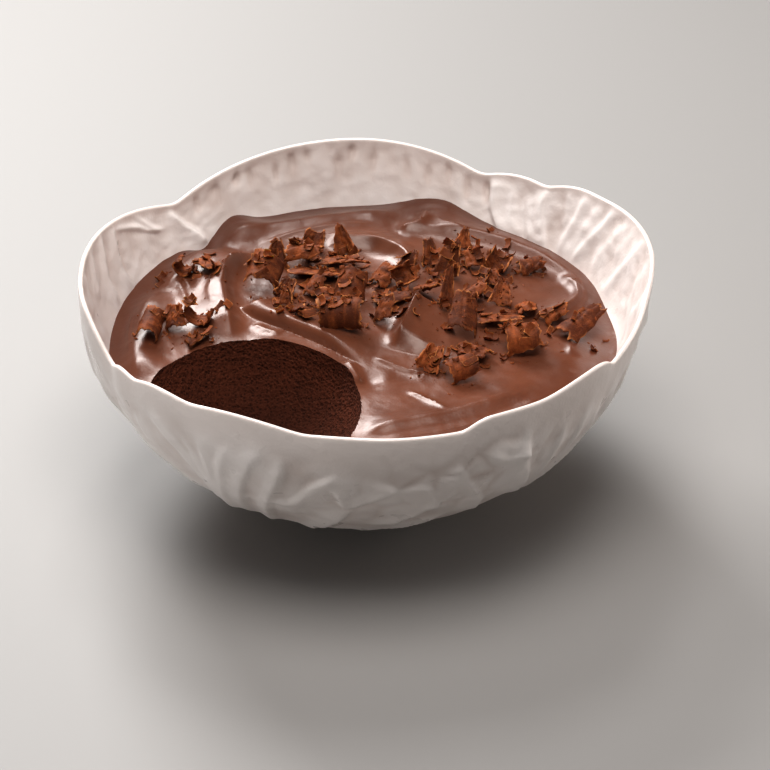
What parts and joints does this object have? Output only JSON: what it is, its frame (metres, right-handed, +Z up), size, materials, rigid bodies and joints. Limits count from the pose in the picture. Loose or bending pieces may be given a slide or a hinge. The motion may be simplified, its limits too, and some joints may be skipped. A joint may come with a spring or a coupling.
{
  "type": "chocolate mousse in a bowl",
  "caption": "Round bowl shaped like overlapping leaves, filled with swirled chocolate mousse, with a scoop taken out at the front and chocolate curls scattered on top.",
  "frame": {"origin": "centre of the foot's flat underside, on the surface that the bowl stands on", "axes": "+Z up along the bowl's axis; -Y is the front, where the scoop was taken out, to the left; +X is to the right seen from the front"},
  "size_m": [0.183, 0.1799, 0.0844],
  "materials": {
    "glaze": "gloss",
    "mousse": "satin",
    "curl": "satin"
  },
  "bodies": {
    "root": {"bowl": "glaze", "mousse": "mousse", "curl_01": "curl", "curl_02": "curl", "curl_03": "curl", "curl_04": "curl", "curl_05": "curl", "curl_06": "curl", "curl_07": "curl", "curl_08": "curl", "curl_09": "curl", "curl_10": "curl", "curl_11": "curl", "curl_12": "curl", "curl_13": "curl", "curl_14": "curl", "curl_15": "curl", "curl_16": "curl", "curl_17": "curl", "curl_18": "curl", "curl_19": "curl", "curl_20": "curl", "curl_21": "curl", "curl_22": "curl", "curl_23": "curl", "curl_24": "curl", "curl_25": "curl", "curl_26": "curl", "curl_27": "curl", "curl_28": "curl", "curl_29": "curl", "curl_30": "curl", "curl_31": "curl", "curl_32": "curl", "curl_33": "curl", "curl_34": "curl", "curl_35": "curl", "curl_36": "curl", "curl_37": "curl", "curl_38": "curl", "curl_39": "curl", "curl_40": "curl", "curl_41": "curl", "curl_42": "curl", "curl_43": "curl", "curl_44": "curl", "curl_45": "curl"}
  },
  "joints": []
}
